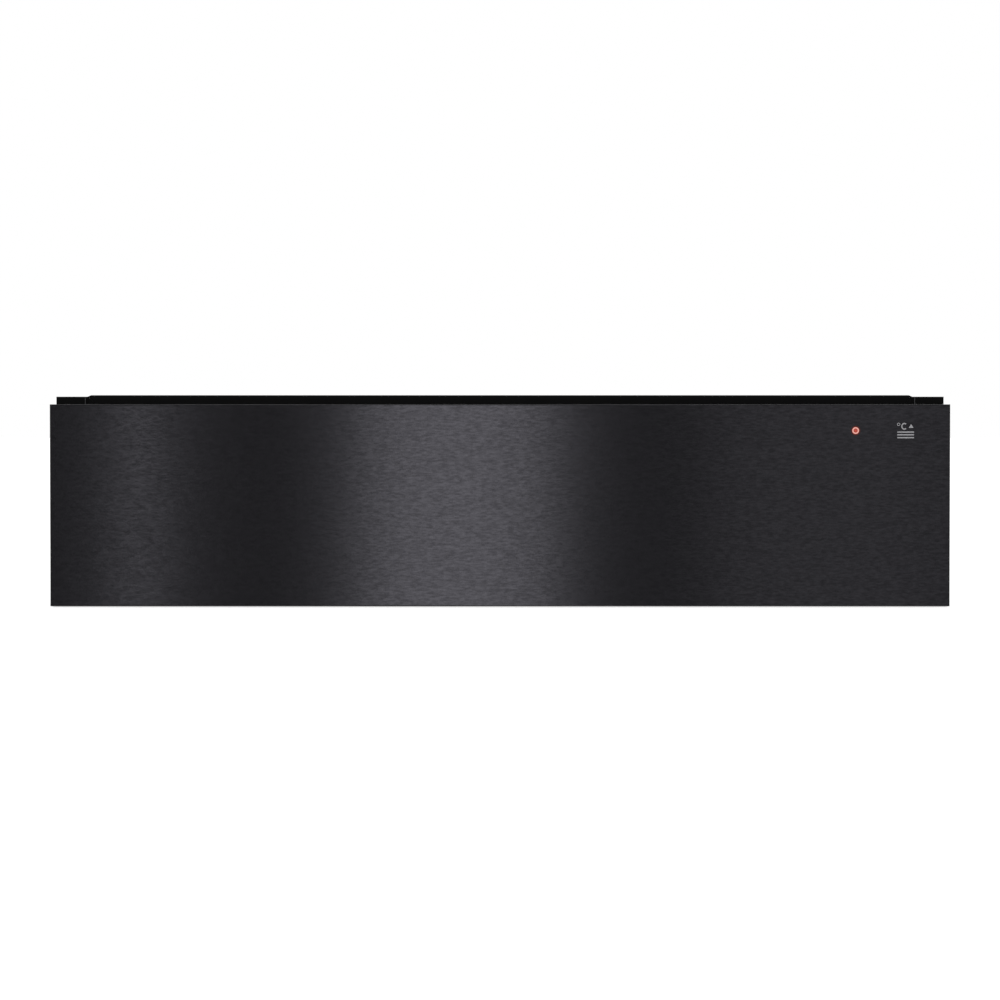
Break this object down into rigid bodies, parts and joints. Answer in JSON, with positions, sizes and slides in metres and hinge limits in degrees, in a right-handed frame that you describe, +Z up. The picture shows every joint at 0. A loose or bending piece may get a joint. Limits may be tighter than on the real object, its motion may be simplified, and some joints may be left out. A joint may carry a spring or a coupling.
{
  "type": "built-in warming drawer",
  "caption": "Built-in warming drawer: push-to-open black steel front, stainless tub on telescopic ball slides, and a fan heater in a folded chassis.",
  "frame": {"origin": "middle of the footprint, on the shelf that the chassis stands on", "axes": "+X to the right seen from the front, -Y out of the front, +Y to the rear, +Z up"},
  "size_m": [0.595, 0.57, 0.14],
  "materials": {
    "fascia_black": "horizontally brushed, tinted black",
    "frame_black": "satin black powder coat",
    "galvanised": "galvanised sheet",
    "stainless": "brushed stainless",
    "zinc": "bright zinc plate",
    "deck_black": "satin black",
    "mat_rubber": "matte, ribbed silicone",
    "bumper_rubber": "matte",
    "black_plastic": "moulded",
    "white_plastic": "moulded",
    "grey_plastic": "moulded",
    "lens_clear": "translucent",
    "lamp_red": "translucent red",
    "fan_aluminium": "plain",
    "heater_sheath": "heat-darkened tube",
    "lamination": "stacked sheets",
    "coil_wrap": "taped winding",
    "cable_grey": "sleeved",
    "screw_steel": "plain"
  },
  "bodies": {
    "chassis": {"base_pan": "galvanised", "side_panel_left": "galvanised", "side_panel_right": "galvanised", "rear_panel": "galvanised", "top_cover": "galvanised", "frame_top_rail": "frame_black", "frame_sill": "frame_black", "frame_stile_left": "frame_black", "frame_stile_right": "frame_black", "bumper_pads": "bumper_rubber", "slide_outer_left": "zinc", "slide_outer_right": "zinc", "slide_bracket_left": "galvanised", "slide_bracket_right": "galvanised", "fan_housing": "galvanised", "ring_heater": "heater_sheath", "heater_clips": "galvanised", "motor_core": "lamination", "motor_coil": "coil_wrap", "bearing_strap_front": "galvanised", "bearing_strap_back": "galvanised", "motor_posts": "galvanised", "thermal_cutout": "black_plastic", "terminal_block": "white_plastic", "cable_gland": "black_plastic", "gland_nut": "black_plastic", "wiring_loom": "cable_grey", "push_latches": "grey_plastic", "cover_screws": "screw_steel", "body_rivets": "screw_steel"},
    "drawer": {"fascia": "fascia_black", "fascia_backing": "galvanised", "indicator_lens": "lens_clear", "indicator_lamp": "lamp_red", "tub": "stainless", "air_grille": "stainless", "non_slip_mat": "mat_rubber", "fascia_bracket_left": "galvanised", "fascia_bracket_right": "galvanised", "deck": "deck_black", "control_housing": "black_plastic", "thermostat": "grey_plastic", "drawer_harness": "cable_grey", "harness_connector": "white_plastic", "harness_clips": "grey_plastic", "slide_inner_left": "zinc", "slide_inner_right": "zinc", "latch_strikers": "galvanised", "tub_screws": "screw_steel", "grille_screws": "screw_steel"},
    "slide_middle_left": {"slide_middle_left": "zinc"},
    "ball_cage_outer_left": {"ball_cage_outer_left": "zinc"},
    "ball_cage_inner_left": {"ball_cage_inner_left": "zinc"},
    "slide_middle_right": {"slide_middle_right": "zinc"},
    "ball_cage_outer_right": {"ball_cage_outer_right": "zinc"},
    "ball_cage_inner_right": {"ball_cage_inner_right": "zinc"},
    "temperature_wheel": {"temperature_wheel": "black_plastic"},
    "fan": {"fan_wheel": "fan_aluminium", "motor_shaft": "zinc", "fan_nut": "zinc"}
  },
  "joints": [
    {"name": "drawer_slide", "type": "slide", "parent": "chassis", "child": "drawer", "axis": [0, -1, 0], "range_m": [-0.003, 0.42]},
    {"name": "slide_middle_left_slide", "type": "slide", "parent": "chassis", "child": "slide_middle_left", "axis": [0, -1, 0], "range_m": [-0.0015, 0.21]},
    {"name": "ball_cage_outer_left_slide", "type": "slide", "parent": "chassis", "child": "ball_cage_outer_left", "axis": [0, -1, 0], "range_m": [-0.00075, 0.105]},
    {"name": "ball_cage_inner_left_slide", "type": "slide", "parent": "chassis", "child": "ball_cage_inner_left", "axis": [0, -1, 0], "range_m": [-0.00225, 0.315]},
    {"name": "slide_middle_right_slide", "type": "slide", "parent": "chassis", "child": "slide_middle_right", "axis": [0, -1, 0], "range_m": [-0.0015, 0.21]},
    {"name": "ball_cage_outer_right_slide", "type": "slide", "parent": "chassis", "child": "ball_cage_outer_right", "axis": [0, -1, 0], "range_m": [-0.00075, 0.105]},
    {"name": "ball_cage_inner_right_slide", "type": "slide", "parent": "chassis", "child": "ball_cage_inner_right", "axis": [0, -1, 0], "range_m": [-0.00225, 0.315]},
    {"name": "temperature_turn", "type": "hinge", "parent": "drawer", "child": "temperature_wheel", "pos_m": [0.2561, -0.2485, 0.116], "axis": [1, 0, 0], "range_deg": [0, 270]},
    {"name": "fan_spin", "type": "hinge", "parent": "chassis", "child": "fan", "pos_m": [0, 0.217, 0.068], "axis": [0, 1, 0], "continuous": true}
  ],
  "couplings": [
    {"joint": "slide_middle_left_slide", "follows": "drawer_slide", "ratio": 0.5},
    {"joint": "ball_cage_outer_left_slide", "follows": "drawer_slide", "ratio": 0.25},
    {"joint": "ball_cage_inner_left_slide", "follows": "drawer_slide", "ratio": 0.75},
    {"joint": "slide_middle_right_slide", "follows": "drawer_slide", "ratio": 0.5},
    {"joint": "ball_cage_outer_right_slide", "follows": "drawer_slide", "ratio": 0.25},
    {"joint": "ball_cage_inner_right_slide", "follows": "drawer_slide", "ratio": 0.75}
  ]
}
